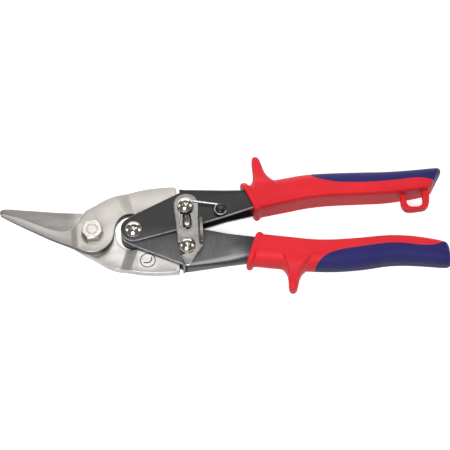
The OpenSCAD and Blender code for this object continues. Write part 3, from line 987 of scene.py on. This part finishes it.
def grip_body(stations, inner_r=INNER_ROUND, outer_r=OUTER_ROUND):
    """Solid through the stations, with smooth curves between them."""
    inner = spline([(*row[:2], 0) for row in stations], 6)
    outer = spline([(*row[2:4], 0) for row in stations], 6)
    shares = spline([(row[4], 0, 0) for row in stations], 6)
    bm = bmesh.new()
    rings = []
    for a, b, share in zip(inner, outer, shares):
        ring = station_ring(a, b, share.x, inner_r, outer_r)
        rings.append([bm.verts.new(p) for p in ring])
    loft(bm, rings)
    return bm


def plan_curve(points, n):
    """Smooth curve in plan through points."""
    return [p.xy for p in spline([(x, y, 0) for x, y in points], n)]


def remesh(obj, voxel, smooth):
    """Joins overlapping solids into one skin, and softens where they meet."""
    mod = obj.modifiers.new("remesh", "REMESH")
    mod.mode = "VOXEL"
    mod.voxel_size = voxel * MM
    mod.use_smooth_shade = True
    soft = obj.modifiers.new("smooth", "SMOOTH")
    soft.factor = 0.5
    soft.iterations = smooth
    apply_modifiers(obj)


def join(name, parts):
    """One mesh that holds several meshes, still overlapping."""
    bm = bmesh.new()
    for part in parts:
        bm.from_mesh(part.data)
        bpy.data.objects.remove(part)
    return mesh_object(name, bm)


def raised(bm, height):
    """The same bmesh, moved up."""
    bmesh.ops.translate(bm, vec=(0, 0, height), verts=bm.verts)
    return bm


def build_grip(name, stations, horn, rib, loop):
    """Grip with its finger stop and rib and, where loop is true, the hanging loop."""
    parts = [make("body", grip_body(stations)),
             make("horn", grip_body(horn, HORN_ROUND, HORN_ROUND)),
             make("rib", raised(grip_body(rib, RIB_ROUND, RIB_ROUND), RIB_LIFT))]
    if loop:
        hole = [Vector(p) for p in LOOP_IN]
        web = plate([tidy_loop(plan_curve(LOOP_OUT, 6)), hole], LOOP_HALF_T, -LOOP_HALF_T, 0.3)
        parts.append(make("web", web))
    obj = join(name, parts)
    remesh(obj, GRIP_VOXEL, 5)
    return obj


def split_grip(obj, split, side_y, inlay_name):
    """Cuts the inlay, on the side of side_y, off a grip along a curve in plan; returns it."""
    loop = plan_curve(split, 8)
    loop += [Vector((210, side_y)), Vector((loop[0].x, side_y))]
    cutter = make("cutter", plate([tidy_loop(loop)], 15, -15, 0.01, steps=1))
    inlay = new_object(inlay_name, obj.data.copy())
    boolean(inlay, cutter, "INTERSECT", keep=True)
    boolean(obj, cutter, "DIFFERENCE")
    for piece in (obj, inlay):
        shade(piece, 50)
    return inlay


for side, stations, horn, rib, split, side_y in (
    ("upper", UPPER_STATIONS, UPPER_HORN, UPPER_RIB, UPPER_SPLIT, 60),
    ("lower", LOWER_STATIONS, LOWER_HORN, LOWER_RIB, LOWER_SPLIT, -60),
):
    grip = build_grip(side + "_grip_base", stations, horn, rib, side == "upper")
    inlay = split_grip(grip, split, side_y, side + "_grip_soft")
    finish_piece(grip, side + "_handle", RED, side + "_grip")
    finish_piece(inlay, side + "_handle", NAVY, side + "_grip_inlay")

# ---- fasteners ----

HEAD_H = 3.0
HEAD_EDGE = 0.7


def shank_solid(r, low, high, centre, chamfer=0.2, steps=40):
    """Plain shank whose lower edge is chamfered."""
    return lathe([(0, low), (r - chamfer, low), (r, low + chamfer), (r, high), (0, high)],
                 centre, steps)


def dome_profile(r, base, top):
    """Section of a domed head from its flat underside to its crown."""
    rise = HEAD_H - HEAD_EDGE
    dome_r = (r * r + rise * rise) / (2 * rise)
    profile = [(0, base), (r - 0.25, base), (r, base + 0.25), (r, base + 0.55)]
    start = math.asin((r - 0.1) / dome_r)
    for k in range(12):
        a = start * (1 - k / 12)
        profile.append((dome_r * math.sin(a), top - dome_r + dome_r * math.cos(a)))
    return profile + [(0, top)]


def recess_wing(half):
    """One of the two tapered bars of a cross recess, from just above a head down into it."""
    bm = bmesh.new()
    rings = []
    for x, y, z in ((half, 0.62, 1), (half * 0.45, 0.35, -1.7)):
        rings.append([bm.verts.new((sx * x, sy * y, z))
                      for sx, sy in ((-1, -1), (1, -1), (1, 1), (-1, 1))])
    loft(bm, rings)
    return bm


def dome_screw(node, body, shanks, turn):
    """Domed screw with a cross recess; shanks are (radius, z from, z to)."""
    low, high, c = node_mm(node)
    r = (high.x - low.x) / 2
    base = high.z - HEAD_H
    head = make(node + "_dome", lathe(dome_profile(r, base, high.z), c, 72))
    for quarter in (0, 90):
        wing = recess_wing(0.52 * r)
        wing.transform(Matrix.Translation((c.x, c.y, high.z)) @ Matrix.Rotation(
            math.radians(turn + quarter), 4, "Z"))
        carve(head, wing)
    for shank_r, z_from, z_to in shanks:
        z_from = low.z if z_from is None else z_from
        z_to = base + 0.5 if z_to is None else z_to
        weld(head, shank_solid(shank_r, z_from, z_to, c))
    shade(head, 30)
    finish_piece(head, body, BRIGHT, node)


# Each shank runs between two heights; None is the screw's own lower end or its head
dome_screw("handle_pivot_screw", "lower_handle",
           [(3.0, FAR_FLANGE_Z, None), (PIVOT_R, None, FAR_FLANGE_Z + 0.25)], 20)
dome_screw("upper_link_screw", "upper_handle", [(LINK_R, None, None)], 25)
dome_screw("lower_link_screw", "lower_handle",
           [(2.3, FAR_FLANGE_Z, None), (LINK_R, None, FAR_FLANGE_Z + 0.25)], 12)


def hex_solid(name, centre, flats, z_low, z_high, chamfer_top, turn=0):
    """Hexagon, turned by some degrees, its corners chamfered at the top or underneath."""
    r = flats / math.sqrt(3)
    angles = [math.radians(60 * k + turn) for k in range(6)]
    corners = [Vector((centre.x + r * math.cos(a), centre.y + r * math.sin(a))) for a in angles]
    obj = make(name, plate([corners], z_high, z_low, 0.08, steps=2))
    if chamfer_top:
        cone = [(r + 1, z_low), (r + 0.4, z_high - 0.85), (flats / 2 - 0.2, z_high)]
    else:
        cone = [(flats / 2 - 0.15, z_low), (r + 0.4, z_low + 0.75), (r + 1, z_high)]
    cone = [(0, z_low), *cone, (0, z_high)]
    boolean(obj, make("cone", lathe(cone, centre, 96)), "INTERSECT")
    return obj


MAIN_R = 3.0
BOLT_FLATS = 10.5
BOLT_HEAD_H = 4.4
BOLT_NECK_R = 3.5


def build_bolt():
    """Main bolt: hexagon head with a turned groove, neck and threaded end drawn plain."""
    low, high, c = node_mm("pivot_bolt")
    top = high.z
    bolt = hex_solid("pivot_bolt_head", c, BOLT_FLATS, top - BOLT_HEAD_H, top, True, 4)
    for r, z_from, z_to in ((BOLT_NECK_R, -5, top - 4), (MAIN_R, low.z, -4.5)):
        weld(bolt, shank_solid(r, z_from, z_to, c, 0.3, 48))
    groove = [(2.5, top + 0.2), (2.5, top - 0.12), (2.7, top - 0.22), (3.0, top - 0.22),
              (3.2, top - 0.12), (3.2, top + 0.2)]
    carve(bolt, ring_solid(groove, c))
    shade(bolt, 30)
    finish_piece(bolt, "wide_blade", BOLT, "pivot_bolt")


def build_nut(node, body, flats, bore_r):
    low, high, c = node_mm(node)
    obj = hex_solid(node + "_hex", c, flats, low.z, high.z, False)
    drill(obj, c, bore_r + 0.02, low.z - 1, high.z + 1)
    shade(obj, 30)
    finish_piece(obj, body, ZINC, node)


def build_ring(node, body, r_in):
    """Washer, bush or sleeve with broken edges."""
    edge = 0.15
    low, high, c = node_mm(node)
    r = (high.x - low.x) / 2
    a, b = low.z, high.z
    profile = [(r_in, a), (r - edge, a), (r, a + edge), (r, b - edge), (r - edge, b), (r_in, b)]
    turned = make(node + "_turned", ring_solid(profile, c))
    finish_piece(turned, body, ZINC, node)


build_bolt()
for nut in (("pivot_nut", "wide_blade", 10, MAIN_R),
            ("handle_pivot_nut", "lower_handle", 8, PIVOT_R),
            ("upper_link_nut", "upper_handle", 7, LINK_R),
            ("lower_link_nut", "lower_handle", 7, LINK_R)):
    build_nut(*nut)
for ring in (("pivot_washer", "wide_blade", MAIN_R),
             ("handle_pivot_sleeve", "lower_handle", PIVOT_R),
             ("upper_link_bush", "upper_handle", LINK_R),
             ("lower_link_bush", "lower_handle", LINK_R),
             ("latch_bush", "upper_handle", LINK_R)):
    build_ring(*ring)

# ---- latch ----

LATCH_Z = node_mm("latch_plate")[0].z
LATCH_T = 1.5
LATCH_TOP = LATCH_Z + LATCH_T
# Slot above the tongue: middle of its round end, radius, and where its straight part ends
SLOT = (52.9, 5.5)
SLOT_R = 2.4
SLOT_FOOT_Y = 3
TAB_FOOT_X = 58.8
TAB_OUTER_X = 61.4
TAB_INNER_X = 59.9
TAB_BEND_IN = 1.2
TAB_BEND_OUT = 2.4
TAB_LOW_Y = -11
TAB_HIGH_Y = 3.4
# Tongue in the slot, in plan, and the lines across which it curls up and down again
TONGUE = [(51.9, 8.4), (51.4, 1.4), (51.8, 0.3), (52.9, -0.1), (54.0, 0.3), (54.4, 1.4),
          (53.9, 8.4)]
TONGUE_LINES = (0.4, 0.8, 1.2, 1.6, 2.2, 3, 4, 5, 6, 7)


def thumb_tab():
    """Lug bent up from the side of the latch, from the flat plate through the bend."""
    top = node_mm("latch_plate")[1].z
    outer = [(TAB_FOOT_X, LATCH_Z)]
    outer += round_corner(TAB_OUTER_X - TAB_BEND_OUT, LATCH_Z + TAB_BEND_OUT, TAB_BEND_OUT,
                          -90, 0, 7)
    inner = round_corner(TAB_INNER_X - TAB_BEND_IN, LATCH_TOP + TAB_BEND_IN, TAB_BEND_IN,
                         0, -90, 6)
    profile = outer + [(TAB_OUTER_X, top), (TAB_INNER_X, top)] + inner + [(TAB_FOOT_X, LATCH_TOP)]
    bm = bmesh.new()
    rings = []
    for y, inset in ((TAB_LOW_Y, 0.15), (TAB_LOW_Y + 0.3, 0), (TAB_HIGH_Y - 0.3, 0),
                     (TAB_HIGH_Y, 0.15)):
        rings.append([bm.verts.new((x, y, min(z, top - inset))) for x, z in profile])
    loft(bm, rings)
    return bm


def tongue_lift(y):
    """How far the tongue stands above the plate: up towards its tip, and down at the tip."""
    return 1.3 * smooth_step((7.6 - y) / 6.4) - 0.9 * smooth_step((1.4 - y) / 1.6)


def build_latch():
    """Pressed latch plate with its slot, the tongue in it, and the bent-up thumb tab."""
    loops = [densify(p, 1.0) for p in section("latch_plate", LATCH_Z + 0.4)[:3]]
    obj = make("latch_pressed", plate(loops, LATCH_TOP, LATCH_Z, 0.3))
    slot = [Vector((SLOT[0] + SLOT_R * math.cos(t), SLOT[1] + SLOT_R * math.sin(t)))
            for t in np.linspace(0, math.pi, 13)]
    slot += [Vector((SLOT[0] - SLOT_R, SLOT_FOOT_Y)), Vector((SLOT[0] + SLOT_R, SLOT_FOOT_Y))]
    carve(obj, plate([slot], 12, 4, 0.02, steps=1))
    # The side that is bent up into the thumb tab is cut off and rebuilt with its bend
    carve(obj, block((59.0, -11.2, 0), (70, 3.6, 20)))
    weld(obj, thumb_tab())
    outline = tidy_loop(densify([Vector(p) for p in TONGUE], 0.6))
    tongue = plate([outline], lambda x, y: LATCH_TOP - 0.1 + tongue_lift(y),
                   lambda x, y: LATCH_Z + 0.1 + tongue_lift(y), 0.25,
                   [(0, y, 0) for y in TONGUE_LINES])
    weld(obj, tongue)
    shade(obj)
    finish_piece(obj, "latch", TUMBLED, "latch_plate")


build_latch()

# ---- springs and post ----


def arc_points(c, r, a, b, z_a, z_b, n):
    """Points of an arc or coil from angle a to b in degrees, rising from z_a to z_b."""
    return [Vector((c[0] + r * math.cos(math.radians(a + (b - a) * k / n)),
                    c[1] + r * math.sin(math.radians(a + (b - a) * k / n)),
                    z_a + (z_b - z_a) * k / n)) for k in range(n + 1)]


def build_return_spring():
    """Torsion spring of two and a half turns round the handle pivot, a leg in each handle."""
    wire_r = 0.5
    coil_r = 4.5
    z = 2.65 * wire_r
    leg = [(69.5, 18.3), (62.5, 10.9), (58, 5.9), (56, 4.5), (53, 4.15), (40, 4.3), (30, 4.45)]
    path = spline([(x, -y, -z) for x, y in leg], 6)
    path += arc_points(P_HANDLE, coil_r, -90, -990, -z, z, 120)
    path += spline([(x, y, z) for x, y in reversed(leg)], 6)
    obj = make("return_spring_coil", tube(path, wire_r))
    finish_piece(obj, None, SPRING, "return_spring")
    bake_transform(obj)


def build_latch_spring():
    """Wire from the latch's slot round the latch pivot to a loop round the spring post."""
    wire_r = 0.45
    wrap_r = 3.55
    post_loop_r = 3.2
    z = LATCH_TOP + wire_r + 0.05
    path = spline([(52.0, -1.3, z - 1.2), (51.2, -1.6, z - 0.8), (50.1, -1.3, z - 0.2),
                   (49.5, -0.4, z), (49.2, 1.5, z), (49.0, 5.0, z), (48.85, 9.0, z)], 6)
    path += arc_points(P_UPPER, wrap_r, 180, 76, z, z, 20)
    path += arc_points(node_mm("spring_post")[2], post_loop_r, 112, 335, z, z, 40)
    obj = make("latch_spring_wire", tube(path, wire_r))
    finish_piece(obj, None, WIRE, "latch_spring")
    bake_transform(obj)


def build_post():
    """Post: a stem in the flange, a body for the spring's loop to hold, a domed head."""
    low, high, c = node_mm("spring_post")
    profile = [(0, low.z), (1.5, low.z), (1.5, 6.0), (2.2, 6.0), (2.2, 8.9), (2.7, 8.95),
               (2.9, 9.2), (2.75, 9.6), (2.2, 10.0), (1.2, 10.25), (0, high.z)]
    post = make("spring_post_rivet", lathe(profile, c, 56), 50)
    finish_piece(post, "upper_handle", BLACK, "spring_post")


build_return_spring()
build_latch_spring()
build_post()

# ---- floor, light, camera ----


def add_floor():
    bm = bmesh.new()
    bmesh.ops.create_grid(bm, x_segments=1, y_segments=1, size=3)
    obj = mesh_object("floor", bm)
    obj.location.z = cad_box[0].z - 0.0002
    obj.data.materials.append(floor_material())


def aim(obj, place, direction):
    """Puts a light or the camera at a place, turned to look in a direction."""
    obj.location = place
    obj.rotation_mode = "QUATERNION"
    obj.rotation_quaternion = direction.to_track_quat("-Z", "Y")


def add_light(name, place, size, power):
    """Rectangular light that shines on the middle of the object."""
    data = bpy.data.lights.new(name, "AREA")
    data.shape = "RECTANGLE"
    data.size, data.size_y = size
    data.energy = power
    aim(new_object(name, data), place, -Vector(place))


def add_world():
    world = bpy.data.worlds.new("studio")
    bpy.context.scene.world = world
    world.use_nodes = True
    back = world.node_tree.nodes["Background"]
    back.inputs["Color"].default_value = (1, 1, 1, 1)
    back.inputs["Strength"].default_value = 0.15


VIEW_AZIMUTH = -3.2
VIEW_ELEVATION = 65.0
VIEW_WIDTH = 0.2514
VIEW_CENTRE = (74.05, 2.75, 0)
LENS = 200.0


def add_camera():
    a, e = math.radians(VIEW_AZIMUTH), math.radians(VIEW_ELEVATION)
    back = Vector((math.sin(a) * math.cos(e), -math.cos(a) * math.cos(e), math.sin(e)))
    data = bpy.data.cameras.new("camera")
    data.lens = LENS
    data.sensor_width = 36
    data.clip_end = 20
    obj = new_object("camera", data)
    target = TO_ROW @ Vector(VIEW_CENTRE)
    aim(obj, target + back * (VIEW_WIDTH * LENS / data.sensor_width), -back)
    bpy.context.scene.camera = obj


add_floor()
add_world()
# Name, place, size and power of each light
for light in (("overhead", (0.04, 0.26, 0.56), (0.5, 0.26), 0.82),
              ("front_top", (-0.25, -0.75, 1.0), (0.5, 0.6), 9),
              ("front_strip", (0.1, -0.95, 0.3), (1.2, 0.1), 0.4),
              ("right_panel", (0.95, 0.1, 0.6), (0.4, 0.4), 1.6),
              ("back_panel", (0.0, 0.95, 0.3), (1.2, 0.3), 3),
              ("left_panel", (-0.95, 0.2, 0.4), (0.3, 0.3), 0.8)):
    add_light(*light)
add_camera()
bpy.context.scene.view_settings.view_transform = "Standard"
